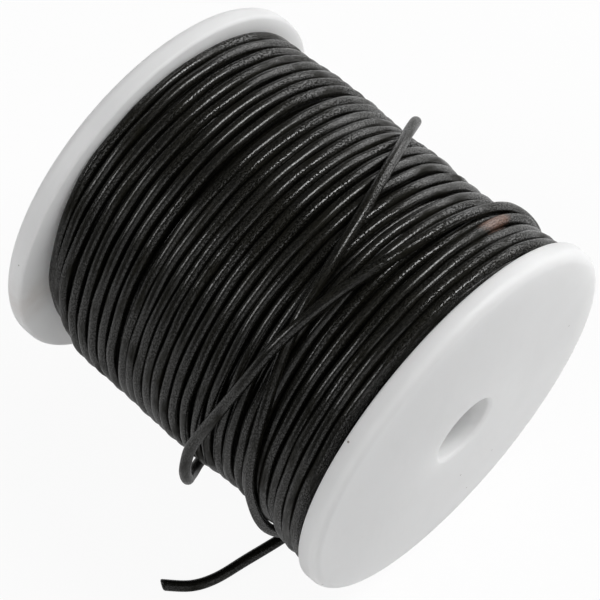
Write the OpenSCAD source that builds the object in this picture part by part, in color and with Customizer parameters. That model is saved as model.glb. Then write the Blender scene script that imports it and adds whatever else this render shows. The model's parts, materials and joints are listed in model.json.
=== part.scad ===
// Spool of round leather cord, lying on the rims of its two flanges.
// Millimetres. Z is up, the spool's axis lies along Y, and Z = 0 is the surface under the rims.
// The near flange is at -Y. Turns are laid in spool coordinates: an angle round the axis from
// straight up, positive towards +X, a radius from the axis, and a place along it towards -Y.

/* [Flanges] */
// Diameter of both flanges
flange_d = 70; // [66:1:90]
// Thickness of a flange at its rim
flange_t = 4; // [3:0.2:6]
// Height of the crowned outer face at the hub above the rim
crown = 0.9; // [0.3:0.1:2]
// Rounding of the rim's outer edge
rim_round = 1.6; // [0.6:0.1:1.8]
// Rounding of the rim's inner edge
edge_round = 0.6; // [0.2:0.1:0.9]
// Width of the flat ring round the bore's mouth
land_w = 3.4; // [2:0.2:6]

/* [Bore] */
// Diameter of the bore through both hubs
bore_d = 12.6; // [8:0.2:16]
// Rounding of the bore's mouth
mouth_round = 1.3; // [0.4:0.1:1.8]
// Wall of the collar round the bore, inside the barrel
collar_wall = 1.8; // [1:0.2:2.4]
// Length of that collar, from the flange's inner face
collar_l = 12; // [6:1:26]

/* [Barrel] */
// Outer diameter of the barrel
barrel_d = 30; // [29:1:40]
// Wall of the barrel
barrel_wall = 1.6; // [1:0.2:2.2]
// Length of the barrel, which is the width between the flanges
barrel_l = 64; // [56:1:80]
// Wall of the spigot that carries the barrel's end
spigot_wall = 1.4; // [0.8:0.2:1.6]
// Length of that spigot
spigot_l = 8; // [4:1:20]
// Gap between the spigot and the barrel, on the radius
spigot_gap = 0.05; // [0.02:0.01:0.1]

/* [Cord] */
// Diameter of the round cord
cord_d = 2; // [1.5:0.1:2.4]
// Depth of the outer layer's surface below the rims
rim_drop = 2.6; // [2.5:0.1:6]
// Most turns that the outer layer is drawn with
most_turns = 24; // [8:1:24]
// Least air between two turns of the outer layer
turn_air = 0.5; // [0.5:0.1:1.2]
// Air between the winding and a flange
side_air = 0.3; // [0.1:0.1:1]

/* [Hidden] */
$fn = 96;

flange_r = flange_d / 2;
bore_r = bore_d / 2;
barrel_r = barrel_d / 2;
cord_r = cord_d / 2;
hub_t = flange_t + crown;
land_r = bore_r + mouth_round + land_w;
collar_r = bore_r + collar_wall;
spigot_r = barrel_r - barrel_wall - spigot_gap;
winding_r = flange_r - rim_drop;

// The outer layer: one helix, over a plain core that holds all the layers under it.
lay_r = winding_r - cord_r;
lay_l = barrel_l - 2 * side_air - cord_d;
turns = min(most_turns, floor(lay_l / (cord_d + turn_air)));
pitch = lay_l / turns;
rings_per_turn = 24;
turn_sides = 6;
// The chord between two rings dips this far below the helix.
ring_dip = lay_r * (1 - cos(180 / rings_per_turn));
core_air = 0.3;
core_r = lay_r - cord_r - core_air;
// Both ends of the helix lie under the back of the spool.
helix_start = 150;

// The crowned face is part of a sphere that passes through the land's edge and the rim's outer edge.
// Its centre lies on the axis, crown_r below the land.
crown_edge_r = flange_r - rim_round;
crown_r = (crown_edge_r * crown_edge_r - land_r * land_r + crown * crown) / (2 * crown);
dome_r = sqrt(crown_r * crown_r + land_r * land_r);
// Short cones that stand for each round stretch of the section.
mouth_steps = 3;
crown_steps = 2;
rim_steps = 4;
edge_steps = 2;

// The outermost turn, from its free cut end to where it tucks in under the spool.
// It runs over the winding, under its own next pass, round the back and over itself.
// Each point is [angle, height of the cord's middle over the outer layer, place along the axis].
LOOSE_ROUTE = [
    [60, 2.6, -2], [47, 1.7, 0.6], [34, 1.2, 3.6], [20, 1.1, 6.7], [5, 1.1, 9.8], [-10, 1.1, 12.1],
    [-25, 1.1, 13.7], [-40, 1.1, 15.4], [-56, 1.1, 17.2], [-72, 1.1, 18.4], [-88, 1.1, 19.2],
    [-104, 1.1, 20.2], [-120, 1.2, 21.4], [-138, 1.2, 22.2], [-158, 1.1, 22.8], [-180, 1.1, 23.2],
    [-202, 1.1, 23.4], [-224, 1.1, 23.4], [-246, 1.1, 23.4], [-268, 1.2, 23.4], [-284, 1.4, 23.1],
    [-295, 1.5, 22.1], [-306, 1.5, 21], [-320, 1.3, 20.5], [-336, 1.1, 20], [-352, 1.1, 19.2],
    [-366, 1.3, 17.8], [-378, 2.2, 16.4], [-388, 3.2, 15.4], [-398, 3.3, 14.2], [-410, 2.2, 12.8],
    [-422, 1.2, 11], [-434, 1.1, 9.2], [-446, 1.9, 7.4], [-457, 3.2, 6.9], [-468, 3.5, 6],
    [-480, 3.1, 3.6], [-491, 1.9, 1.6], [-506, 1.2, 0], [-528, 1.1, -1.4]
];
// The second cut end, which comes out from under the winding and lies on the surface.
// Each point is [X, Z, place along the axis].
TAIL_ROUTE = [
    [6, 2, 20], [-2, 1.3, 20], [-10, 1.1, 19.6], [-17, 1.1, 18.8], [-24, 1.1, 17.6],
    [-31, 1.1, 16], [-37, 1.1, 14.6], [-41, 1.1, 12.5], [-44.2, 1.1, 8.9]
];
loose_rings = 66;
tail_rings = 13;
route_sides = 8;

plastic = "whitesmoke";
leather = [0.12, 0.11, 0.1];

// Stands what is drawn along Z on the rims, with Z turned to -Y and Y turned up.
module lay_down() {
    translate([0, 0, flange_r])
        rotate([90, 0, 0])
            children();
}

// ---- Flanges and barrel ----

// Points along a round stretch, from one direction to another.
function arc(x, y, radius, from, to, steps) = [
    for (i = [0 : steps])
        let (way = from + (to - from) * i / steps)
        [x + radius * cos(way), y + radius * sin(way)]
];

// Height of the crowned face over the flange's inner face.
function crown_height(r) = hub_t - crown_r + sqrt(dome_r * dome_r - r * r);

// Half section of a flange: radius along X, the inner face at Y = 0, collar and spigot below it.
module flange_section() {
    mouth = arc(bore_r + mouth_round, hub_t - mouth_round, mouth_round, 180, 90, mouth_steps);
    crowned = [
        for (i = [0 : crown_steps])
            let (r = land_r + (crown_edge_r - land_r) * i / crown_steps)
            [r, crown_height(r)]
    ];
    rim = arc(crown_edge_r, flange_t - rim_round, rim_round, 90 - 90 / rim_steps, 0, rim_steps - 1);
    edge = arc(flange_r - edge_round, edge_round, edge_round, 0, -90, edge_steps);
    inner_r = spigot_r - spigot_wall;
    spigot = [[spigot_r, 0], [spigot_r, -spigot_l], [inner_r, -spigot_l], [inner_r, 0]];
    collar = [[collar_r, 0], [collar_r, -collar_l], [bore_r, -collar_l]];
    polygon(concat(mouth, crowned, rim, edge, spigot, collar));
}

module ring(outer_r, inner_r, length) {
    difference() {
        cylinder(r = outer_r, h = length);
        translate([0, 0, -1])
            cylinder(r = inner_r, h = length + 2);
    }
}

module flange() {
    rotate_extrude()
        flange_section();
}

module near_flange() {
    color(plastic)
        lay_down()
            translate([0, 0, barrel_l / 2])
                flange();
}

module far_flange() {
    color(plastic)
        lay_down()
            mirror([0, 0, 1])
                translate([0, 0, barrel_l / 2])
                    flange();
}

module barrel() {
    color("gainsboro")
        lay_down()
            translate([0, 0, -barrel_l / 2])
                ring(barrel_r, barrel_r - barrel_wall, barrel_l);
}

// ---- Winding ----

module wound_core() {
    core_l = barrel_l - 2 * side_air;
    color([0.2, 0.17, 0.14])
        lay_down()
            translate([0, 0, -core_l / 2])
                ring(core_r, barrel_r, core_l);
}

function unit(v) = v / norm(v);

// A point in spool coordinates.
function on_spool(angle, radius, along) = [radius * sin(angle), radius * cos(angle), along];

// One ring of a tube: its first corner points away from the axis, or along up where that is given.
function tube_ring(middle, tangent, radius, sides, up) =
    let (
        out = unit(up - (up * tangent) * tangent),
        across = cross(tangent, out)
    )
    [
        for (k = [0 : sides - 1])
            let (way = 360 * k / sides)
            middle + radius * (cos(way) * out + sin(way) * across)
    ];

function from_axis(p) = unit([p[0], p[1], 0]);

// Tangents of a run of points, by differences between neighbours.
function tangents(run) =
    let (last = len(run) - 1)
    [for (i = [0 : last]) unit(run[min(i + 1, last)] - run[max(i - 1, 0)])];

// A closed tube of triangles over a list of rings.
module tube(rings) {
    sides = len(rings[0]);
    last = len(rings) - 1;
    corners = [for (one = rings) for (p = one) p];
    first_cap = [for (k = [1 : sides - 2]) [0, k, k + 1]];
    last_cap = [for (k = [1 : sides - 2]) [last * sides, last * sides + k + 1, last * sides + k]];
    near_half = [
        for (i = [0 : last - 1]) for (k = [0 : sides - 1])
            [i * sides + k, (i + 1) * sides + k, i * sides + (k + 1) % sides]
    ];
    far_half = [
        for (i = [0 : last - 1]) for (k = [0 : sides - 1])
            [i * sides + (k + 1) % sides, (i + 1) * sides + k, (i + 1) * sides + (k + 1) % sides]
    ];
    polyhedron(points = corners, faces = concat(first_cap, near_half, far_half, last_cap));
}

// The helix's ring centres. Angles fall as the turns move towards the near flange.
helix = [
    for (i = [0 : turns * rings_per_turn])
        on_spool(
            helix_start - 360 * i / rings_per_turn,
            lay_r,
            -lay_l / 2 + pitch * i / rings_per_turn
        )
];
// Each end runs straight on for one cord diameter.
helix_first = unit(helix[0] - helix[1]);
helix_last = unit(helix[len(helix) - 1] - helix[len(helix) - 2]);
winding_run = concat(
    [helix[0] + cord_d * helix_first],
    helix,
    [helix[len(helix) - 1] + cord_d * helix_last]
);

// Least distance between two runs of the same tube that lie about a turn apart, less its diameter.
function least_gap(run, apart, spread, diameter) =
    min([
        for (i = [0 : len(run) - 1])
            for (j = [i + apart - spread : i + apart + spread])
                if (j < len(run)) norm(run[i] - run[j])
    ]) - diameter;

module outer_winding() {
    t = tangents(winding_run);
    color(leather)
        lay_down()
            tube([
                for (i = [0 : len(winding_run) - 1])
                    tube_ring(winding_run[i], t[i], cord_r, turn_sides, from_axis(winding_run[i]))
            ]);
}

// A smooth run through a route's points, as the given number of evenly shared samples.
function route_sample(route, at) =
    let (
        last = len(route) - 1,
        i = min(floor(at), last - 1),
        u = at - i,
        p0 = route[max(i - 1, 0)],
        p1 = route[i],
        p2 = route[i + 1],
        p3 = route[min(i + 2, last)]
    )
    (2 * p1 + (p2 - p0) * u + (2 * p0 - 5 * p1 + 4 * p2 - p3) * u * u
        + (3 * p1 - p0 - 3 * p2 + p3) * u * u * u) / 2;

function route_run(route, count) =
    [for (k = [0 : count - 1]) route_sample(route, k * (len(route) - 1) / (count - 1))];

loose_run = [
    for (p = route_run(LOOSE_ROUTE, loose_rings))
        on_spool(p[0], winding_r + p[1], p[2])
];
tail_run = [
    for (p = route_run(TAIL_ROUTE, tail_rings))
        [p[0], p[1] - flange_r, p[2]]
];

module loose_turn() {
    t = tangents(loose_run);
    color(leather)
        lay_down()
            tube([
                for (i = [0 : len(loose_run) - 1])
                    tube_ring(loose_run[i], t[i], cord_r, route_sides, from_axis(loose_run[i]))
            ]);
}

module tail_end() {
    t = tangents(tail_run);
    color(leather)
        lay_down()
            tube([
                for (i = [0 : len(tail_run) - 1])
                    tube_ring(tail_run[i], t[i], cord_r, route_sides, [0, 1, 0])
            ]);
}

echo(turns = turns, pitch = pitch);
echo(least_gap_of_outer_winding = least_gap(winding_run, rings_per_turn, 6, cord_d));
echo(gap_of_core_under_chords = core_air - ring_dip);

near_flange();
far_flange();
barrel();
wound_core();
outer_winding();
loose_turn();
tail_end();
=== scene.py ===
"""Dresses a plastic spool wound full of round black leather cord.

The spool lies on its rims with its axis along Y and its near flange at -Y. Sizes are in metres. A place on
the winding is given as a turn angle in degrees from straight up, positive towards +X, a radius from the
spool's axis, and a place along that axis, positive towards the near flange.
"""
import json
import logging
import math
import random
from dataclasses import dataclass, field
from enum import Enum
from typing import Callable, Sequence

import bmesh
import bpy
from mathutils import Matrix, Vector


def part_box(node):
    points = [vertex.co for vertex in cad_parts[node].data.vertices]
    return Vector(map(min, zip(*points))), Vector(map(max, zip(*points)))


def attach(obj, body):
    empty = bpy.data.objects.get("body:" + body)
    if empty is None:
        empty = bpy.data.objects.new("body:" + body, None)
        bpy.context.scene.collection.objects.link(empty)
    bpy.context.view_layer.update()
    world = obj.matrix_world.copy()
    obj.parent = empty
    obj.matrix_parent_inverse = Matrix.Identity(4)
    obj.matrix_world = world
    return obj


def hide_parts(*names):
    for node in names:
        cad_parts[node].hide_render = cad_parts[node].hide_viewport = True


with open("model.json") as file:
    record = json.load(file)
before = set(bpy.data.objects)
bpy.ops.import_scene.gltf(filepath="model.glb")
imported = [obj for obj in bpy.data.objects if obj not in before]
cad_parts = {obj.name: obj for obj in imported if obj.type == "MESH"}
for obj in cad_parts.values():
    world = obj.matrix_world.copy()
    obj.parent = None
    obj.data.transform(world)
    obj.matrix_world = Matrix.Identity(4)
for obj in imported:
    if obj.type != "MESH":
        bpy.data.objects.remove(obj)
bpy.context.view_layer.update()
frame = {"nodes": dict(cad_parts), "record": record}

log = logging.getLogger("spool")

Triple = tuple[float, float, float]
Span = tuple[float, float]

MM = 0.001
BODY = "root"
WHITE = (1.0, 1.0, 1.0, 1.0)

# The sockets that a Mix node has for two colours, and the one for its result.
MIX_LOW, MIX_HIGH, MIX_RESULT = 6, 7, 2

# The camera looks down on the spool from over its near end.
CAMERA_PLACE = Vector((-165.1, -156.1, 434.5)) * MM
CAMERA_RIGHT = Vector((0.68814, -0.7256, 0.0)).normalized()
CAMERA_UP = Vector((0.63125, 0.5987, 0.49305)).normalized()
CAMERA_LENS = 163.26
SENSOR_WIDTH = 36.0

# The slack outer turn, from its cut end on top of the winding to where it tucks in under the spool.
# Each point is (turn angle, height of the cord's middle over the outer turns, place along the axis).
LOOSE_ROUTE = (
    (58, 0.0026, -0.002), (46.5, 0.0017, 0.0006), (34, 0.0012, 0.0036), (20, 0.0011, 0.0067),
    (5, 0.0011, 0.0098), (-10, 0.0011, 0.0121), (-25, 0.0011, 0.0137), (-40, 0.0011, 0.0154),
    (-56, 0.0011, 0.0172), (-72, 0.0011, 0.0184), (-88, 0.0011, 0.0192), (-104, 0.0011, 0.0202),
    (-120, 0.0012, 0.0214), (-138, 0.0012, 0.0222), (-158, 0.0011, 0.0228), (-180, 0.0011, 0.0232),
    (-202, 0.0011, 0.0234), (-224, 0.0011, 0.0234), (-246, 0.0011, 0.0234), (-268, 0.0012, 0.0234),
    (-284, 0.0014, 0.0231), (-295, 0.0015, 0.0221), (-306, 0.0015, 0.021), (-320, 0.0013, 0.0205),
    (-336, 0.0011, 0.02), (-352, 0.0011, 0.0192), (-366, 0.0013, 0.0178), (-378, 0.0022, 0.0164),
    (-388, 0.0032, 0.0154), (-398, 0.0033, 0.0142), (-410, 0.0022, 0.0128), (-422, 0.0012, 0.011),
    (-434, 0.0011, 0.0092), (-446, 0.0019, 0.0074), (-457, 0.0032, 0.0069), (-468, 0.0035, 0.006),
    (-480, 0.0032, 0.0034), (-491, 0.0021, 0.0009), (-506, 0.0012, -0.0009), (-528, 0.0011, -0.0021),
)
# The second cut end, from under the winding to where it lies on the surface.
# Each point is (X, Z, place along the axis).
TAIL_ROUTE = (
    (0.006, 0.002, 0.02), (-0.002, 0.0013, 0.02), (-0.01, 0.0011, 0.0196), (-0.017, 0.0011, 0.0188),
    (-0.024, 0.0011, 0.0176), (-0.031, 0.0011, 0.016), (-0.037, 0.0011, 0.0146), (-0.041, 0.0011, 0.0125),
    (-0.0442, 0.0011, 0.0089),
)
LOOSE_LENGTH = 0.354
TAIL_LENGTH = 0.053
CORD_DIAMETER = 0.002
BARREL_WALL = 0.0016

# Where the middles of the outer turns lie along the axis on top of the spool, in millimetres.
TURN_PLACES = (
    -31.0, -28.8, -26.3, -23.9, -21.7, -19.3, -17.0, -14.7, -11.65, -9.7, -7.45, -5.45, -3.5, -1.45,
    0.6, 2.8, 5.1, 7.2, 9.6, 11.7, 14.5, 16.6, 18.7, 21.1, 23.6, 25.65, 27.6, 29.6,
)

# Corners nearer than this are one corner, and edges that turn by more than this stay sharp.
WELD_DISTANCE = 1e-7
SHARP_ANGLE = math.radians(40)


def smooth_step(x: float) -> float:
    """0 up to 0, 1 from 1, and smooth between them."""
    x = min(max(x, 0.0), 1.0)
    return x * x * (3 - 2 * x)


@dataclass(frozen=True)
class Drift:
    """A patch of the winding where the turns lie off their plain places; degrees and millimetres."""

    angle: float
    angle_reach: float
    along: float
    along_reach: float
    shift: float
    lift: float

    def share(self, angle: float, along: float) -> float:
        """How much of the drift holds at a turn angle and a place along the axis."""
        turned = ((angle - self.angle + 180) % 360 - 180) / self.angle_reach
        return math.exp(-turned ** 4 - ((along - self.along) / self.along_reach) ** 4)


# A reach that takes in the whole turn.
ALL_ROUND = 1000.0
DRIFTS = (
    # The last turns ride higher than the rest.
    Drift(0, ALL_ROUND, 28.1, 3.6, 0.0, 1.2),
    Drift(48, 60, 23.6, 1.6, 0.0, 1.1),
    Drift(58, 24, 22.5, 2.2, -0.4, 0.5),
    # The far end sinks towards the surface, and the turns there crowd away from the flange.
    Drift(-105, 55, -31.5, 3.0, 1.0, -2.4),
    Drift(-130, 45, -28.0, 3.2, 0.8, -1.4),
    Drift(-100, 52, -19.0, 10.0, 0.8, -0.3),
    # Uneven layers below.
    Drift(70, 60, -15.0, 9.0, 0.2, 0.5),
    Drift(70, 60, 3.5, 3.5, 0.1, 0.4),
    Drift(-110, 50, 12.0, 5.0, 0.0, -0.6),
    Drift(-95, 48, 10.0, 9.0, 0.9, 0.0),
    Drift(50, 38, 15.0, 6.0, 0.7, 0.0),
    # The groove that the slack turn has pressed into the winding.
    Drift(-64, 32, 19.0, 1.9, 0.0, -1.1),
)


@dataclass(frozen=True)
class Sink:
    """A stretch where the slack turn has worked in between the outer turns; metres and turn angles."""

    depth: float
    start: float
    end: float
    fade: float

    def at(self, angle: float) -> float:
        """How deep the slack turn lies at a turn angle, which falls from start to end."""
        into, out = (self.start - angle) / self.fade, (angle - self.end) / self.fade
        return self.depth * smooth_step(into) * smooth_step(out)


SINKS = (
    # Where it first goes down the side, under its own next pass.
    Sink(1.0 * MM, -25, -118, 25),
    # Where it comes up again by the near flange.
    Sink(0.4 * MM, -270, -340, 20),
)


class Finish(Enum):
    """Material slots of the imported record."""

    PLASTIC = "spool_plastic"
    LEATHER = "cord_leather"


# ---------------------------------------------------------------- shader maths


class Value:
    """A socket that adds Math nodes when it is calculated with."""

    def __init__(self, shader: "Shader", socket: bpy.types.NodeSocket) -> None:
        """Keeps the socket and the shader it belongs to."""
        self.shader = shader
        self.socket = socket

    def _math(self, operation: str, *terms: "Value | float") -> "Value":
        """Adds one Math node over the terms and returns its result."""
        sockets = dict(enumerate(terms))
        return self.shader.node("ShaderNodeMath", {"operation": operation}, sockets)[0]

    def __add__(self, other: "Value | float") -> "Value":
        """Sum."""
        return self._math("ADD", self, other)

    __radd__ = __add__

    def __sub__(self, other: "Value | float") -> "Value":
        """Difference."""
        return self._math("SUBTRACT", self, other)

    def __rsub__(self, other: "Value | float") -> "Value":
        """Difference from a number."""
        return self._math("SUBTRACT", other, self)

    def __mul__(self, other: "Value | float") -> "Value":
        """Product."""
        return self._math("MULTIPLY", self, other)

    __rmul__ = __mul__

    def clamp(self) -> "Value":
        """The value held between 0 and 1."""
        return self._math("MINIMUM", self._math("MAXIMUM", self, 0.0), 1.0)

    def between(self, ends: Span) -> "Value":
        """The first end where the value is 0, the second where it is 1, and straight between them."""
        return (ends[1] - ends[0]) * self + ends[0]

    def ramp(self, low: float, high: float) -> "Value":
        """Turns the value into a share.

        Args:
            low: up to here the share is 0; it may be above high.
            high: from here the share is 1.

        Returns:
            The share, smooth between the two.
        """
        settings = {"interpolation_type": "SMOOTHSTEP"}
        sockets = {"Value": self, "From Min": low, "From Max": high}
        return self.shader.node("ShaderNodeMapRange", settings, sockets)["Result"]


class Outputs:
    """The outputs of one node, by name or by number."""

    def __init__(self, shader: "Shader", node: bpy.types.Node) -> None:
        """Keeps the node and its shader."""
        self.shader = shader
        self.node = node

    def __getitem__(self, key: "str | int") -> Value:
        """One output as a value."""
        return Value(self.shader, self.node.outputs[key])


@dataclass(frozen=True)
class Pattern:
    """One noise: waves to a unit of length, detail, roughness, and a stretch for each axis before that."""

    scale: float
    detail: float = 2.0
    roughness: float = 0.5
    stretch: Triple | None = None


@dataclass(frozen=True)
class Relief:
    """How much a height bumps the surface: the bump's strength, and its depth in metres."""

    strength: float
    depth: float


class Shader:
    """A material's node tree, with one method for every kind of node."""

    def __init__(self, name: str) -> None:
        """Starts an empty material.

        Args:
            name: the material's name.
        """
        self.material = bpy.data.materials.new(name)
        self.material.use_nodes = True
        self.tree = self.material.node_tree
        self.tree.nodes.clear()

    def node(self, kind: str, settings: dict | None = None, sockets: dict | None = None) -> Outputs:
        """Adds a node.

        Args:
            kind: the node's type name.
            settings: properties of the node, set before its sockets.
            sockets: values or links by socket name or number.

        Returns:
            The node's outputs.
        """
        made = self.tree.nodes.new(kind)
        for key, value in (settings or {}).items():
            setattr(made, key, value)
        for key, value in (sockets or {}).items():
            if isinstance(value, Value):
                self.tree.links.new(value.socket, made.inputs[key])
            else:
                made.inputs[key].default_value = value
        return Outputs(self, made)

    def coordinates(self, output: str) -> Value:
        """One output of Texture Coordinate, such as Object or UV."""
        return self.node("ShaderNodeTexCoord")[output]

    def axes(self, vector: Value) -> Outputs:
        """The X, Y and Z of a vector."""
        return self.node("ShaderNodeSeparateXYZ", None, {"Vector": vector})

    def scaled(self, vector: Value, scale: Triple) -> Value:
        """A vector times a scale for each axis."""
        return self.node("ShaderNodeVectorMath", {"operation": "MULTIPLY"}, {0: vector, 1: scale})[0]

    def noise(self, vector: Value, pattern: Pattern) -> Value:
        """Adds a noise.

        Args:
            vector: where it is read.
            pattern: its scale and character.

        Returns:
            The noise, from 0 to 1.
        """
        if pattern.stretch:
            vector = self.scaled(vector, pattern.stretch)
        sockets = {
            "Vector": vector,
            "Scale": pattern.scale,
            "Detail": pattern.detail,
            "Roughness": pattern.roughness,
        }
        return self.node("ShaderNodeTexNoise", {"noise_dimensions": "3D"}, sockets)["Fac"]

    def distance(self, vector: Value, point: Triple) -> Value:
        """Distance of a vector from a point."""
        return self.node("ShaderNodeVectorMath", {"operation": "DISTANCE"}, {0: vector, 1: point})["Value"]

    def colours(self, factor: Value, low: Triple, high: Triple) -> Value:
        """A mix of two colours."""
        sockets = {0: factor, MIX_LOW: (*low, 1.0), MIX_HIGH: (*high, 1.0)}
        return self.node("ShaderNodeMix", {"data_type": "RGBA"}, sockets)[MIX_RESULT]

    def over(self, factor: Value, below: Value, high: Triple) -> Value:
        """A colour laid over a colour that varies."""
        sockets = {0: factor, MIX_LOW: below, MIX_HIGH: (*high, 1.0)}
        return self.node("ShaderNodeMix", {"data_type": "RGBA"}, sockets)[MIX_RESULT]

    def bump(self, height: Value, relief: Relief, normal: Value | None = None) -> Value:
        """Adds a bump.

        Args:
            height: height over the surface.
            relief: how much it shows.
            normal: another bump that this one lies on.

        Returns:
            The bumped normal.
        """
        sockets = {"Height": height, "Strength": relief.strength, "Distance": relief.depth}
        if normal is not None:
            sockets["Normal"] = normal
        return self.node("ShaderNodeBump", None, sockets)["Normal"]

    def finish(self, sockets: dict) -> bpy.types.Material:
        """Adds the surface and the output.

        Args:
            sockets: values or links for the Principled shader.

        Returns:
            The material.
        """
        surface = self.node("ShaderNodeBsdfPrincipled", None, sockets)["BSDF"]
        self.node("ShaderNodeOutputMaterial", None, {"Surface": surface})
        return self.material


# ---------------------------------------------------------------- finishes


@dataclass(frozen=True)
class MouldedPlastic:
    """White injection-moulded plastic: smooth, with faint tone, a few scuffs and specks of dust."""

    colour: Triple = (0.895, 0.897, 0.897)
    shaded: Triple = (0.84, 0.842, 0.842)
    tone: Pattern = Pattern(45.0, 3.0)
    tone_span: Span = (0.3, 0.75)

    # Painted shade: the near flange's outer face is painted greyer towards +Z and -X; the rim stays clean.
    painted_shade: Triple = (0.74, 0.742, 0.744)
    painted_shade_up: float = 0.5
    painted_shade_side: float = 0.85
    painted_shade_span: Span = (-0.004, 0.046)
    painted_shade_face: Span = (-0.035, -0.0359)

    # A brownish mark on the far flange near its rim: partly dye smudged off the cord, partly painted shadow
    # of the winding.
    smudge_and_shadow: Triple = (0.62, 0.56, 0.52)
    smudge_and_shadow_place: Triple = (-0.0335, 0.032, 0.036)
    smudge_and_shadow_reach: Span = (0.009, 0.001)
    smudge_and_shadow_share: float = 0.8
    smudge_and_shadow_grain: Pattern = Pattern(260.0, 3.0)

    # Specks of dust: places to a metre, and radius and soft edge as a share of the way between two places.
    dust: Triple = (0.30, 0.28, 0.25)
    speck_scale: float = 220.0
    speck_radius: float = 0.055
    speck_edge: float = 0.02
    speck_sizes: Pattern = Pattern(60.0, 1.0)
    speck_span: Span = (0.45, 0.65)

    # Roughness, and what the tone and the scuffs add to it.
    smooth: float = 0.36
    toned: float = 0.16
    scuffed: float = 0.12
    scuffs: Pattern = Pattern(420.0, 3.0, 0.6, (1.0, 1.0, 0.25))
    scuff_span: Span = (0.5, 0.7)

    # The slow swell of the moulded surface, and its fine texture.
    swell: Pattern = Pattern(75.0, 1.0)
    swell_relief: Relief = Relief(0.5, 0.6 * MM)
    texture: Pattern = Pattern(1500.0, 2.0)
    texture_relief: Relief = Relief(0.25, 0.04 * MM)

    def material(self) -> bpy.types.Material:
        """Makes the material.

        Returns:
            The material.
        """
        s = Shader("moulded_plastic")
        place = s.coordinates("Object")
        tone = s.noise(place, self.tone)
        colour = s.colours(tone.ramp(*self.tone_span), self.shaded, self.colour)
        # Painted shade on the near flange's outer face, greyer towards +Z and -X.
        colour = self._shade_near_face(s, place, colour)
        # Brownish mark on the far flange: partly dye smudge, partly painted shadow of the winding.
        colour = self._add_smudge_and_shadow(s, place, colour)
        colour = self._dusted(s, place, colour)
        scuff = s.noise(place, self.scuffs).ramp(*self.scuff_span)
        swell = s.bump(s.noise(place, self.swell), self.swell_relief)
        sockets = {
            "Base Color": colour,
            "Roughness": self.smooth + self.toned * tone + self.scuffed * scuff,
            "Normal": s.bump(s.noise(place, self.texture), self.texture_relief, swell),
            "IOR": 1.49,
            # The wall lets some light through.
            "Subsurface Weight": 0.7,
            "Subsurface Radius": (0.01, 0.01, 0.0098),
            "Subsurface Scale": 1.0,
        }
        return s.finish(sockets)

    def _shade_near_face(self, s: Shader, place: Value, colour: Value) -> Value:
        """Paints shade on the near flange's outer face, greyer towards one side.

        Args:
            s: the shader.
            place: Object coordinates.
            colour: the colour so far.

        Returns:
            The colour with the painted shade.
        """
        axes = s.axes(place)
        # Painted shade: greyer towards +Z and -X, on the near flange's outer face only.
        side = axes["Z"] * self.painted_shade_up - axes["X"] * self.painted_shade_side
        share = side.ramp(*self.painted_shade_span) * axes["Y"].ramp(*self.painted_shade_face)
        return s.over(share, colour, self.painted_shade)

    def _add_smudge_and_shadow(self, s: Shader, place: Value, colour: Value) -> Value:
        """Adds the brownish mark: partly dye smudge, partly painted shadow of the winding."""
        near = s.distance(place, self.smudge_and_shadow_place).ramp(*self.smudge_and_shadow_reach)
        return s.over(near * s.noise(place, self.smudge_and_shadow_grain) * self.smudge_and_shadow_share, colour, self.smudge_and_shadow)

    def _dusted(self, s: Shader, place: Value, colour: Value) -> Value:
        """Adds the specks of dust.

        Args:
            s: the shader.
            place: Object coordinates.
            colour: the colour so far.

        Returns:
            The colour with the dust.
        """
        sockets = {"Vector": place, "Scale": self.speck_scale}
        speck = s.node("ShaderNodeTexVoronoi", {"feature": "F1"}, sockets)
        radius = s.noise(place, self.speck_sizes).ramp(*self.speck_span) * self.speck_radius
        return s.over((radius - speck["Distance"]).ramp(0.0, self.speck_edge), colour, self.dust)


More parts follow.
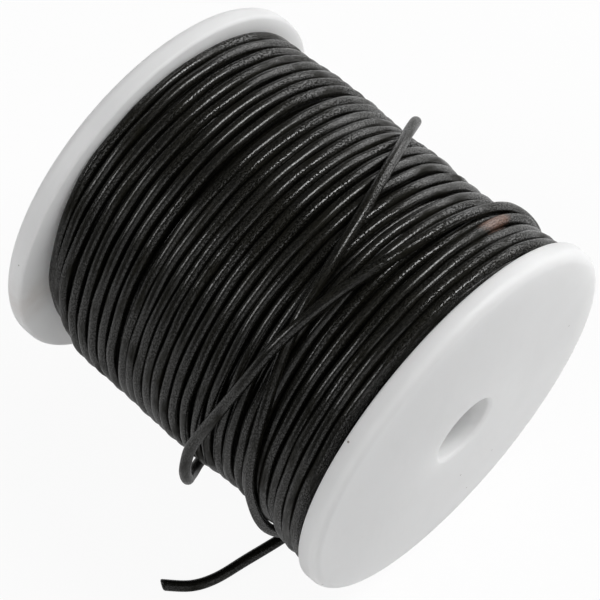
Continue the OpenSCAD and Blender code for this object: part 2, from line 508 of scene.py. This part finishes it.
@dataclass(frozen=True)
class DyedLeather:
    """Round leather cord dyed black: fine grain, smooth and pebbled stretches, one undyed spot.

    The patterns lie on the cord's UV map, which holds millimetres along the cord and round it. A pair of
    numbers that depends on the grain holds for a smooth stretch first and for a pebbled one second. One
    that depends on the painted shade towards -X holds for the shaded side first and for the other one
    second.
    """

    dark: Triple = (0.0016, 0.0015, 0.0011)
    dry: Triple = (0.0105, 0.0099, 0.0073)

    fibres: Pattern = Pattern(1.0, 3.0, 0.6, (0.4, 3.4, 1.0))
    pebbles: Pattern = Pattern(1.0, 3.0, 0.65, (1.7, 3.0, 1.0))
    pores: Pattern = Pattern(1.0, 1.0, 0.6, (2.6, 4.4, 1.0))
    lumps: Pattern = Pattern(1.0, 2.0, 0.5, (0.22, 0.4, 1.0))
    stretches: Pattern = Pattern(1.0, 2.0, 0.5, (0.05, 0.16, 1.0))
    stretch_span: Span = (0.42, 0.58)
    dryness: Pattern = Pattern(1.0, 3.0, 0.5, (0.11, 0.3, 1.0))

    # Painted shade towards -X: the winding is painted darker and less glossy there, and its grain is
    # calmer. The X where that ends, and what is left of grain and gloss.
    shade_side_span: Span = (-0.028, -0.006)
    shade_side_grain: Span = (0.4, 1.0)
    shade_side_gloss: Span = (0.7, 1.0)
    shade_side_mottle: Span = (0.22, 0.45)
    shade_side_tone: Span = (0.195, 0.225)

    # What fibres and dryness add to the tone, and where the tone goes from dark to dry.
    fibre_tone: float = 0.3
    dry_tone: float = 0.25
    tone_span: Span = (0.45, 0.57)

    # The spot without dye: its reach along X and Z, how much narrower it is along Y, and its frayed edge.
    undyed: Triple = (0.19, 0.1, 0.07)
    undyed_place: Triple = (0.0199, -0.0234, 0.0616)
    undyed_squeeze: Triple = (1.0, 3.4, 1.0)
    undyed_reach: Span = (0.0054, 0.0026)
    undyed_fray: float = 0.004
    undyed_pores: Span = (0.38, 0.58)
    undyed_cover: Span = (0.35, 1.0)

    # Glints on the grain's tops: how much of them is pores and pebbles, and where they start.
    glint_pores: float = 0.6
    glint_pebbles: float = 0.4
    glint_span: Span = (0.455, 0.56)
    glint_gloss: Span = (0.5, 1.0)
    plain_gloss: Span = (0.4, 0.0)
    dry_gloss: Span = (0.74, 0.48)

    # Roughness, and what grain and dryness add to it.
    smooth: float = 0.42
    grained: float = 0.1
    dried: float = 0.06

    # Heights of the fibres and of pebbles and pores, and how deep the grain and the lumps under it go.
    fibre_height: Span = (0.12, 0.22)
    pebble_height: Span = (0.03, 0.58)
    lump_relief: Relief = Relief(0.4, 0.5 * MM)
    grain_relief: Relief = Relief(1.0, 0.25 * MM)

    def material(self) -> bpy.types.Material:
        """Makes the material.

        Returns:
            The material.
        """
        s = Shader("dyed_leather")
        run = s.coordinates("UV")
        place = s.coordinates("Object")
        fibres = s.noise(run, self.fibres)
        pebbles = s.noise(run, self.pebbles)
        pores = s.noise(run, self.pores)
        dryness = s.noise(run, self.dryness)
        # Painted shade towards -X: darker tone, less mottle and less gloss there, and calmer grain.
        unshaded = s.axes(place)["X"].ramp(*self.shade_side_span)
        grainy = s.noise(run, self.stretches).ramp(*self.stretch_span) * unshaded.between(self.shade_side_grain)

        mottle = (pores - 0.5) * unshaded.between(self.shade_side_mottle)
        tone = fibres * self.fibre_tone + dryness * self.dry_tone + mottle + unshaded.between(self.shade_side_tone)
        colour = s.colours(tone.ramp(*self.tone_span), self.dark, self.dry)
        colour = s.over(self._undyed_share(s, place, pebbles, pores), colour, self.undyed)

        glints = (self.glint_pores * pores + self.glint_pebbles * pebbles).ramp(*self.glint_span)
        gloss = glints * grainy.between(self.glint_gloss) + grainy.between(self.plain_gloss)
        gloss = gloss * dryness.ramp(*self.dry_gloss) * unshaded.between(self.shade_side_gloss)

        lumps = s.bump(s.noise(run, self.lumps), self.lump_relief)
        grain = (pebbles + pores) * grainy.between(self.pebble_height)
        height = fibres * grainy.between(self.fibre_height) + grain
        sockets = {
            "Base Color": colour,
            "Roughness": self.smooth + self.grained * grainy + self.dried * dryness,
            "Normal": s.bump(height, self.grain_relief, lumps),
            "IOR": 1.15,
            "Specular Tint": (1.0, 0.98, 0.8, 1.0),
            # The gloss of the dyed skin.
            "Coat Weight": gloss,
            "Coat Roughness": 0.21,
            "Coat IOR": 1.7,
        }
        return s.finish(sockets)

    def _undyed_share(self, s: Shader, place: Value, pebbles: Value, pores: Value) -> Value:
        """Where the dye is missing.

        Args:
            s: the shader.
            place: Object coordinates.
            pebbles: the coarse grain, which frays the spot's edge.
            pores: the fine grain, which holds some dye inside the spot.

        Returns:
            The share of bare leather.
        """
        x, y, z = (a * b for a, b in zip(self.undyed_place, self.undyed_squeeze))
        away = s.distance(s.scaled(place, self.undyed_squeeze), (x, y, z))
        bare = (away + (pebbles - 0.5) * self.undyed_fray).ramp(*self.undyed_reach)
        return bare * pores.ramp(*self.undyed_pores).between(self.undyed_cover)


@dataclass(frozen=True)
class CutLeather:
    """The raw fibres of a cut end, greyed by the dye."""

    core: Triple = (0.05, 0.042, 0.035)
    edge: Triple = (0.015, 0.014, 0.012)
    fibres: Pattern = Pattern(4200.0, 3.0, 0.6)
    fibre_span: Span = (0.35, 0.65)
    fibre_relief: Relief = Relief(0.8, 0.2 * MM)
    roughness: Span = (0.7, 0.9)

    def material(self) -> bpy.types.Material:
        """Makes the material.

        Returns:
            The material.
        """
        s = Shader("cut_leather")
        fibres = s.noise(s.coordinates("Object"), self.fibres)
        sockets = {
            "Base Color": s.colours(fibres.ramp(*self.fibre_span), self.edge, self.core),
            "Roughness": fibres.between(self.roughness),
            "Normal": s.bump(fibres, self.fibre_relief),
            "IOR": 1.45,
        }
        return s.finish(sockets)


# ---------------------------------------------------------------- the spool's frame


@dataclass(frozen=True)
class SpoolFrame:
    """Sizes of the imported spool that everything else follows."""

    rim_r: float
    face: float
    inner_face: float
    bore_r: float
    winding_r: float
    barrel_r: float
    barrel_in_r: float

    @classmethod
    def packed(cls) -> "SpoolFrame":
        """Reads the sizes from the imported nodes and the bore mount.

        Returns:
            The sizes.
        """
        low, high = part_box("near_flange")
        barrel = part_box("barrel")
        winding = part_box("outer_winding")
        barrel_r = (barrel[1][0] - barrel[0][0]) / 2
        bore = next(m for m in frame["record"]["mounts"] if m["name"] == "bore")
        return cls(
            rim_r=(high[0] - low[0]) / 2,
            face=-low[1],
            inner_face=(barrel[1][1] - barrel[0][1]) / 2,
            bore_r=bore["dims"]["r_mm"] * MM,
            winding_r=(winding[1][0] - winding[0][0]) / 2,
            barrel_r=barrel_r,
            barrel_in_r=barrel_r - BARREL_WALL,
        )

    def place(self, angle: float, radius: float, along: float) -> Vector:
        """A point from a turn angle in degrees, a radius and a place along the axis."""
        turn = math.radians(angle)
        return Vector((radius * math.sin(turn), -along, self.rim_r + radius * math.cos(turn)))

    def outward(self, point: Vector) -> Vector:
        """Direction away from the spool's axis at a point."""
        return Vector((point.x, 0.0, point.z - self.rim_r)).normalized()


# ---------------------------------------------------------------- shapes


def smooth_run(points: Sequence[Sequence[float]], steps: int) -> list[Vector]:
    """Runs a smooth curve through points.

    Args:
        points: the points, three numbers each.
        steps: samples between two points.

    Returns:
        The samples, the last point included.
    """
    knots = [Vector(p) for p in points]
    last = len(knots) - 1
    run = []
    for i in range(last):
        before, start = knots[max(i - 1, 0)], knots[i]
        end, after = knots[i + 1], knots[min(i + 2, last)]
        for step in range(steps):
            u = step / steps
            run.append(
                (2 * start + (end - before) * u + (2 * before - 5 * start + 4 * end - after) * u * u
                 + (3 * start - before - 3 * end + after) * u ** 3) / 2
            )
    run.append(knots[last])
    return run


def arc(x: float, y: float, radius: float, ends: Span, steps: int) -> list[Span]:
    """Points along a round stretch, between two directions in degrees."""
    ways = [math.radians(ends[0] + (ends[1] - ends[0]) * i / steps) for i in range(steps + 1)]
    return [(x + radius * math.cos(way), y + radius * math.sin(way)) for way in ways]


def spin_round(bm: bmesh.types.BMesh, corners: Sequence[Span], axis_z: float, steps: int) -> None:
    """Spins a closed section round the spool's axis.

    Args:
        bm: the mesh to fill.
        corners: radius, and place along Y, of each corner.
        axis_z: height of the axis.
        steps: facets round.
    """
    verts = [bm.verts.new((0.0, y, axis_z + radius)) for radius, y in corners]
    edges = [bm.edges.new((a, b)) for a, b in zip(verts, verts[1:] + verts[:1])]
    bmesh.ops.spin(
        bm, geom=verts + edges, cent=(0.0, 0.0, axis_z), axis=(0.0, 1.0, 0.0), dvec=(0.0, 0.0, 0.0),
        angle=2 * math.pi, steps=steps, use_merge=True,
    )
    bmesh.ops.remove_doubles(bm, verts=bm.verts[:], dist=WELD_DISTANCE)
    bmesh.ops.recalc_face_normals(bm, faces=bm.faces[:])
    for face in bm.faces:
        face.smooth = True
    for edge in bm.edges:
        edge.smooth = edge.calc_face_angle(0.0) < SHARP_ANGLE


def finished_mesh(
    bm: bmesh.types.BMesh, name: str, materials: Sequence[bpy.types.Material]
) -> bpy.types.Object:
    """Turns a bmesh into an object at the origin.

    Args:
        bm: the mesh, which is freed.
        name: the object's name.
        materials: its materials in order.

    Returns:
        The object.
    """
    mesh = bpy.data.meshes.new(name)
    bm.to_mesh(mesh)
    bm.free()
    for material in materials:
        mesh.materials.append(material)
    made = bpy.data.objects.new(name, mesh)
    bpy.context.scene.collection.objects.link(made)
    return made


def dress(made: bpy.types.Object, node: str) -> None:
    """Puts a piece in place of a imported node.

    Args:
        made: the piece.
        node: the node that it replaces.
    """
    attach(made, BODY)
    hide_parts(node)
    log.info("%s: %d faces", made.name, len(made.data.polygons))


@dataclass
class Wander:
    """A smooth seeded wobble along a cord, as a sum of waves."""

    size: float
    seed: int
    per_turn: tuple[float, ...] = (1.3, 2.9, 4.7, 8.3, 13.9)
    waves: list[Span] = field(init=False)

    def __post_init__(self) -> None:
        """Draws the waves."""
        draw = random.Random(self.seed)
        self.waves = [(f * draw.uniform(0.8, 1.25), draw.uniform(0.0, 1.0)) for f in self.per_turn]

    def at(self, turns: float) -> float:
        """The wobble after a number of turns, about within plus and minus the size."""
        return self.size / 2 * sum(math.sin(2 * math.pi * (f * turns + start)) for f, start in self.waves)


@dataclass
class CordTube:
    """Sweeps round cord along a run of points, with cut ends and a UV map in millimetres."""

    name: str
    leather: bpy.types.Material
    raw: bpy.types.Material
    radius: float = CORD_DIAMETER / 2
    sides: int = 16
    # How far a cut end leans, as a share of the radius at its edge.
    lean: float = 0.0
    # How much the thickness wobbles, and the length of cord that its waves are counted over.
    unevenness: float = 0.025
    uneven_length: float = 0.1
    uneven_waves: tuple[float, ...] = (1.0, 2.3, 5.1, 11.7)
    seed: int = 11
    # The soft edge of a cut end: how far past the cut, and how wide there, as shares of the radius.
    end_rings: tuple[Span, ...] = ((0.21, 0.9), (0.3, 0.74))

    def build(self, run: Sequence[Vector], outward: Callable[[Vector], Vector]) -> bpy.types.Object:
        """Makes the tube.

        Args:
            run: middles of the rings.
            outward: direction that the side away from the seam faces, at a point.

        Returns:
            The object, at the origin.
        """
        bm = bmesh.new()
        uv = bm.loops.layers.uv.new("cord")
        rings, stations = [], []
        total = 0.0
        last = len(run) - 1
        wobble = Wander(self.unevenness, self.seed, self.uneven_waves)
        for i, middle in enumerate(run):
            total += (middle - run[i - 1]).length if i else 0.0
            tangent = (run[min(i + 1, last)] - run[max(i - 1, 0)]).normalized()
            out = outward(middle)
            out = (out - out.dot(tangent) * tangent).normalized()
            thickness = 1.0 + wobble.at(total / self.uneven_length)
            for shift, share in self._end_steps(i, last):
                lean = self.lean if i in (0, last) else 0.0
                ring = self._ring(bm, middle + shift * tangent, tangent, out, share * thickness, lean)
                rings.append(ring)
                stations.append((total + shift) / MM)
        for (a, b), (ua, ub) in zip(zip(rings, rings[1:]), zip(stations, stations[1:])):
            self._skin(bm, uv, a, b, ua, ub)
        for ring in (list(reversed(rings[0])), rings[-1]):
            cap = bm.faces.new(ring)
            cap.smooth = False
            cap.material_index = 1
        return finished_mesh(bm, self.name, (self.leather, self.raw))

    def _end_steps(self, i: int, last: int) -> list[Span]:
        """Rings at one point of the run, which are more than one at a cut end.

        Args:
            i: the point's number.
            last: the last point's number.

        Returns:
            How far along each ring lies from the point, and its width as a share of the radius.
        """
        full = [(0.0, 1.0)]
        past = [(far * self.radius, share) for far, share in self.end_rings]
        if i == 0:
            return [(-far, share) for far, share in reversed(past)] + full
        return full + past if i == last else full

    def _ring(
        self, bm: bmesh.types.BMesh, middle: Vector, tangent: Vector, out: Vector, share: float, lean: float
    ) -> list[bmesh.types.BMVert]:
        """Adds one ring of vertices.

        Args:
            bm: the mesh to fill.
            middle: the ring's middle.
            tangent: direction along the cord.
            out: direction away from the spool's axis.
            share: width as a share of the radius.
            lean: how far the ring leans along the cord, as a share of the radius at its edge.

        Returns:
            The vertices; the first faces the spool's axis.
        """
        across = tangent.cross(out)
        ring = []
        for k in range(self.sides):
            turn = 2 * math.pi * k / self.sides
            side = -math.cos(turn) * out - math.sin(turn) * across
            slope = lean * side.dot(across) * tangent
            ring.append(bm.verts.new(middle + share * self.radius * (side + slope)))
        return ring

    def _skin(
        self, bm: bmesh.types.BMesh, uv: bmesh.types.BMLayerItem,
        a: list[bmesh.types.BMVert], b: list[bmesh.types.BMVert], ua: float, ub: float,
    ) -> None:
        """Adds the quads between two rings, with millimetres along and round the cord as UV.

        Args:
            bm: the mesh to fill.
            uv: its UV layer.
            a: the first ring.
            b: the next ring.
            ua: millimetres along the cord at the first ring.
            ub: millimetres along the cord at the next ring.
        """
        side = 2 * math.pi * self.radius / MM / self.sides
        for k in range(self.sides):
            n = (k + 1) % self.sides
            face = bm.faces.new((a[k], a[n], b[n], b[k]))
            face.smooth = True
            corners = ((ua, k), (ua, k + 1), (ub, k + 1), (ub, k))
            for loop, (u, v) in zip(face.loops, corners):
                loop[uv].uv = (u, v * side)


# ---------------------------------------------------------------- sub-assemblies


@dataclass
class FreeCord:
    """The two cut ends of the cord: the slack outer turn and the tail on the surface."""

    spool: SpoolFrame
    leather: bpy.types.Material
    raw: bpy.types.Material
    # Rings between two points of a route.
    steps: int = 6
    loose_lean: float = 0.3
    loose_seed: int = 3
    tail_lean: float = 0.4
    tail_unevenness: float = 0.015

    def build(self) -> None:
        """Makes and dresses both cords."""
        self._loose_turn()
        self._tail_end()

    def _loose_turn(self) -> None:
        """The slack turn, which lies between the outer turns where it goes round under itself."""
        run = []
        for angle, lift, along in smooth_run(LOOSE_ROUTE, self.steps):
            sunk = sum(sink.at(angle) for sink in SINKS)
            run.append(self.spool.place(angle, self.spool.winding_r + lift - sunk, along))
        tube = CordTube("slack_turn", self.leather, self.raw, lean=self.loose_lean, seed=self.loose_seed)
        cord = tube.build(run, self.spool.outward)
        self._declare(cord, "loose_turn", run, LOOSE_LENGTH, run[-1])

    def _tail_end(self) -> None:
        """The tail, which lies on the surface."""
        run = [Vector((x, -along, z)) for x, z, along in smooth_run(TAIL_ROUTE, self.steps)]
        tube = CordTube(
            "tail", self.leather, self.raw, lean=self.tail_lean, unevenness=self.tail_unevenness
        )
        cord = tube.build(run, lambda point: Vector((0.0, 0.0, 1.0)))
        self._declare(cord, "tail_end", run, TAIL_LENGTH, run[0])

    @staticmethod
    def _declare(
        cord: bpy.types.Object, node: str, run: list[Vector], length: float, way_out: Vector
    ) -> None:
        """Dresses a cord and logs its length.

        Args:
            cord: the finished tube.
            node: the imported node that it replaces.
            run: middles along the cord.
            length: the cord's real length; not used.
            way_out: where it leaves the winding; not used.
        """
        dress(cord, node)
        log.info("%s: %.0f mm", cord.name, sum((b - a).length for a, b in zip(run, run[1:])) / MM)


@dataclass
class Winding:
    """The turns that show: the outer layer, the layers under it, and the drum of those that never show."""

    spool: SpoolFrame
    leather: bpy.types.Material
    raw: bpy.types.Material
    # Turn angle at which the outer layer starts, under the back of the spool.
    start: float = 160.0
    rings_per_turn: int = 100
    # The part of a turn, counted from the top, in which the cord steps over to its next place.
    step_from: float = 0.3
    step_share: float = 0.4
    # Both ends of the outer layer come up from the layer below over this share of a turn.
    rise: float = 0.12
    # Wobble of the outer turns in millimetres.
    sideways: float = 0.09
    sideways_seed: int = 21
    upward: float = 0.07
    upward_seed: int = 22
    # Distance between the middles of two layers.
    layer: float = 1.75 * MM
    # Each layer that shows in the gaps: its name, how many layers it lies below the outer one, and the
    # turn angle of its first end.
    under_layers: tuple[tuple[str, int, float], ...] = (
        ("under_turns", 1, 200.0), ("deeper_turns", 2, 20.0),
    )
    under_count: int = 29
    under_rings: int = 60
    under_sides: int = 10
    under_seed: int = 30
    # How many layers the drum's surface lies below the outer one, its facets, and the air round it.
    drum_layers: float = 2.4
    drum_sides: int = 128
    drum_end_gap: float = 0.2 * MM
    drum_barrel_gap: float = 0.05 * MM

    def build(self) -> None:
        """Makes the layers."""
        self._outer()
        for name, depth, start in self.under_layers:
            self._under(name, depth, start)
        self._drum()

    def _along(self, turns: float) -> float:
        """Where the outer layer lies along the axis.

        Args:
            turns: turns from the layer's start at the far flange.

        Returns:
            The place along the axis in millimetres.
        """
        # The top of the spool is passed this share of a turn after the start.
        x = turns - self.start / 360
        i = math.floor(x)
        last = len(TURN_PLACES) - 1
        low = TURN_PLACES[min(max(i, 0), last)]
        high = TURN_PLACES[min(max(i + 1, 0), last)]
        return low + (high - low) * smooth_step((x - i - self.step_from) / self.step_share)

    @staticmethod
    def _drifted(angle: float, along: float) -> Span:
        """Adds up the drifts at a place on the winding.

        Args:
            angle: the turn angle.
            along: the place along the axis in millimetres.

        Returns:
            The shift along the axis and the lift, in millimetres.
        """
        shares = [(drift, drift.share(angle, along)) for drift in DRIFTS]
        shift = sum(drift.shift * share for drift, share in shares)
        lift = sum(drift.lift * share for drift, share in shares)
        return shift, lift

    def _outer(self) -> None:
        """One unbroken cord for all outer turns."""
        count = len(TURN_PLACES)
        sideways = Wander(self.sideways, self.sideways_seed)
        upward = Wander(self.upward, self.upward_seed)
        limit = self.spool.inner_face - CORD_DIAMETER / 2
        run = []
        for i in range(count * self.rings_per_turn + 1):
            turns = i / self.rings_per_turn
            angle = self.start - 360 * turns
            along = self._along(turns)
            shift, lift = self._drifted(angle, along)
            dip = 1 - smooth_step(turns / self.rise) * smooth_step((count - turns) / self.rise)
            radius = self.spool.winding_r - CORD_DIAMETER / 2 - dip * self.layer
            place = (along + shift + sideways.at(turns)) * MM
            place = min(max(place, -limit), limit)
            run.append(self.spool.place(angle, radius + (lift + upward.at(turns)) * MM, place))
        turns = CordTube("outer_turns", self.leather, self.raw).build(run, self.spool.outward)
        dress(turns, "outer_winding")

    def _under(self, name: str, depth: int, start: float) -> None:
        """A layer further down, which shows between the outer turns.

        Args:
            name: the piece's name.
            depth: how many layers below the outer one.
            start: the turn angle of its first end.
        """
        radius = self.spool.winding_r - CORD_DIAMETER / 2 - depth * self.layer
        half = self.spool.inner_face - CORD_DIAMETER / 2
        steps = self.under_count * self.under_rings
        run = []
        for i in range(steps + 1):
            share = i / steps
            angle = start + 360 * self.under_count * share
            along = -half + 2 * half * share
            lift = self._drifted(angle, along / MM)[1] * MM
            run.append(self.spool.place(angle, radius + lift, along))
        seed = self.under_seed + depth
        tube = CordTube(name, self.leather, self.raw, sides=self.under_sides, seed=seed)
        dress(tube.build(run, self.spool.outward), "wound_core")

    def _drum(self) -> None:
        """The body of deeper layers, closed off as one drum round the barrel."""
        radius = self.spool.winding_r - CORD_DIAMETER - self.drum_layers * self.layer
        half = self.spool.inner_face - self.drum_end_gap
        inner = self.spool.barrel_r + self.drum_barrel_gap
        bm = bmesh.new()
        corners = ((inner, -half), (radius, -half), (radius, half), (inner, half))
        spin_round(bm, corners, self.spool.rim_r, self.drum_sides)
        drum = finished_mesh(bm, "deep_layers", (self.leather, self.raw))
        dress(drum, "wound_core")


@dataclass
class Flanges:
    """The two moulded flanges, each with its collar and spigot, and the barrel between them."""

    spool: SpoolFrame
    plastic: bpy.types.Material
    rim_t: float = 4.0 * MM
    rim_round: float = 1.9 * MM
    edge_round: float = 0.6 * MM
    mouth_round: float = 0.7 * MM
    land_w: float = 4.0 * MM
    collar_wall: float = 1.8 * MM
    collar_l: float = 12.0 * MM
    spigot_wall: float = 1.4 * MM
    spigot_l: float = 8.0 * MM
    spigot_gap: float = 0.05 * MM
    end_round: float = 0.3 * MM
    # Facets of the round stretches and of the crowned face, and facets round the spool.
    mouth_steps: int = 8
    crown_steps: int = 14
    rim_steps: int = 10
    edge_steps: int = 6
    end_steps: int = 3
    sides: int = 160

    def build(self) -> None:
        """Makes both flanges and dresses the barrel."""
        self._flange("near_disc", "near_flange", -1.0)
        self._flange("far_disc", "far_flange", 1.0)
        barrel = frame["nodes"]["barrel"]
        barrel.data.materials.clear()
        barrel.data.materials.append(self.plastic)
        log.info("barrel: as packed, in plastic")

    def _crown(self, radius: float) -> float:
        """Works out the crowned outer face.

        Args:
            radius: distance from the spool's axis.

        Returns:
            Height of the face there over the flange's inner face.
        """
        hub_t = self.spool.face - self.spool.inner_face
        crown = hub_t - self.rim_t
        land_r = self.spool.bore_r + self.mouth_round + self.land_w
        edge_r = self.spool.rim_r - self.rim_round
        below = (edge_r ** 2 - land_r ** 2 + crown ** 2) / (2 * crown)
        return hub_t - below + math.sqrt(below ** 2 + land_r ** 2 - radius ** 2)

    def _sleeve(self, outer: float, wall: float, length: float) -> list[Span]:
        """Draws the free end of a sleeve that stands on the inner face, such as the collar.

        Args:
            outer: the sleeve's outer radius.
            wall: its wall.
            length: how far it stands out from the inner face.

        Returns:
            Its corners, from outside to inside.
        """
        soft, steps = self.end_round, self.end_steps
        outside = arc(outer - soft, soft - length, soft, (0, -90), steps)
        return outside + arc(outer - wall + soft, soft - length, soft, (-90, -180), steps)

    def _section(self) -> list[Span]:
        """Draws half of a flange cut through its axis.

        Returns:
            Radius, and height over the inner face, of each corner, from the bore's mouth outwards.
        """
        bore_r, rim_r = self.spool.bore_r, self.spool.rim_r
        hub_t = self.spool.face - self.spool.inner_face
        mouth, edge = self.mouth_round, self.edge_round
        land_r = bore_r + mouth + self.land_w
        edge_r = rim_r - self.rim_round
        # The rim's rounding starts where it leans as much as the crowned face.
        slope = math.degrees(math.atan((self._crown(edge_r - MM) - self._crown(edge_r)) / MM))
        spigot_r = self.spool.barrel_in_r - self.spigot_gap
        points = arc(bore_r + mouth, hub_t - mouth, mouth, (180, 90), self.mouth_steps)
        for i in range(self.crown_steps):
            radius = land_r + (edge_r - land_r) * i / self.crown_steps
            points.append((radius, self._crown(radius)))
        points += arc(edge_r, self.rim_t - self.rim_round, self.rim_round, (90 - slope, 0), self.rim_steps)
        points += arc(rim_r - edge, edge, edge, (0, -90), self.edge_steps)
        points.append((spigot_r, 0.0))
        points += self._sleeve(spigot_r, self.spigot_wall, self.spigot_l)
        points.append((spigot_r - self.spigot_wall, 0.0))
        points.append((bore_r + self.collar_wall, 0.0))
        points += self._sleeve(bore_r + self.collar_wall, self.collar_wall, self.collar_l)
        return points

    def _flange(self, name: str, node: str, way: float) -> None:
        """Makes one flange.

        Args:
            name: the piece's name.
            node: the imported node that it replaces.
            way: -1 for an outer face towards -Y, and 1 for one towards +Y.
        """
        bm = bmesh.new()
        inner = self.spool.inner_face
        corners = [(radius, way * (inner + height)) for radius, height in self._section()]
        spin_round(bm, corners, self.spool.rim_r, self.sides)
        dress(finished_mesh(bm, name, (self.plastic,)), node)


# ---------------------------------------------------------------- studio


@dataclass(frozen=True)
class Softbox:
    """One soft light aimed at the spool.

    The way is the direction from the spool's middle to the light, and the distance is measured from there.
    The size is how far the light reaches round the spool, and along its axis. The power is in watts.
    """

    name: str
    way: Triple
    distance: float
    size: Span
    power: float


@dataclass
class Studio:
    """Plain pale floor, soft lights and the camera."""

    middle: Vector = field(default_factory=lambda: Vector((0.0, 0.0, 0.035)))
    lights: tuple[Softbox, ...] = (
        Softbox("key_light", (0.56, -0.32, 0.77), 0.8, (0.48, 0.28), 3.35),
        Softbox("far_light", (-0.56, 0.5, 0.6), 0.8, (0.4, 0.32), 1.8),
        Softbox("front_card", (-0.6, -0.8, 0.12), 0.55, (1.2, 0.8), 2.0),
        Softbox("right_card", (0.95, -0.05, 0.15), 0.8, (0.8, 0.8), 4.4),
    )
    ambient: float = 0.1
    floor_reach: float = 3.0
    floor_tone: float = 0.92
    # How white the floor is made for the camera, and for what shines.
    seen_white: float = 0.93
    mirrored_white: float = 0.32

    def build(self) -> None:
        """Makes floor, lights, world and camera."""
        self._camera()
        self._floor()
        self._world()
        for light in self.lights:
            self._softbox(light)

    @staticmethod
    def _camera() -> None:
        """Places the camera."""
        data = bpy.data.cameras.new("camera")
        data.lens = CAMERA_LENS
        data.sensor_width = SENSOR_WIDTH
        data.clip_start = 0.01
        camera = bpy.data.objects.new("camera", data)
        back = CAMERA_RIGHT.cross(CAMERA_UP)
        turn = Matrix((CAMERA_RIGHT, CAMERA_UP, back)).transposed().to_4x4()
        camera.matrix_world = Matrix.Translation(CAMERA_PLACE) @ turn
        bpy.context.scene.collection.objects.link(camera)
        bpy.context.scene.camera = camera

    def _floor(self) -> None:
        """A pale floor that keeps a faint shadow."""
        s = Shader("floor")
        path = s.node("ShaderNodeLightPath")
        mirrored = (path["Is Glossy Ray"] + path["Is Transmission Ray"]).clamp()
        white_share = path["Is Camera Ray"] * self.seen_white + mirrored * self.mirrored_white
        tone = (self.floor_tone, self.floor_tone, self.floor_tone, 1.0)
        matt = s.node("ShaderNodeBsdfDiffuse", None, {"Color": tone})["BSDF"]
        white = s.node("ShaderNodeEmission", None, {"Color": WHITE, "Strength": 1.0})["Emission"]
        mixed = s.node("ShaderNodeMixShader", None, {0: white_share, 1: matt, 2: white})["Shader"]
        s.node("ShaderNodeOutputMaterial", None, {"Surface": mixed})
        bm = bmesh.new()
        bmesh.ops.create_grid(bm, x_segments=1, y_segments=1, size=self.floor_reach)
        finished_mesh(bm, "floor", (s.material,))

    def _world(self) -> None:
        """A soft grey surround."""
        world = bpy.data.worlds.new("surround")
        world.use_nodes = True
        background = world.node_tree.nodes["Background"]
        background.inputs["Color"].default_value = WHITE
        background.inputs["Strength"].default_value = self.ambient
        bpy.context.scene.world = world

    def _softbox(self, light: Softbox) -> None:
        """Adds one soft light.

        Args:
            light: its place, size and power.
        """
        data = bpy.data.lights.new(light.name, "AREA")
        data.shape = "RECTANGLE"
        data.size, data.size_y = light.size
        data.energy = light.power
        lamp = bpy.data.objects.new(light.name, data)
        back = Vector(light.way).normalized()
        side = Vector((0.0, 1.0, 0.0)).cross(back).normalized()
        turn = Matrix((side, back.cross(side), back)).transposed().to_4x4()
        lamp.matrix_world = Matrix.Translation(self.middle + back * light.distance) @ turn
        bpy.context.scene.collection.objects.link(lamp)


def main() -> None:
    """Builds the studio and the spool in order."""
    logging.basicConfig(level=logging.INFO, format="%(name)s: %(message)s")
    bpy.context.scene.view_settings.view_transform = "Standard"
    spool = SpoolFrame.packed()
    leather = DyedLeather().material()
    raw = CutLeather().material()
    plastic = MouldedPlastic().material()
    Studio().build()
    FreeCord(spool, leather, raw).build()
    Winding(spool, leather, raw).build()
    Flanges(spool, plastic).build()


if __name__ == "__main__":
    main()
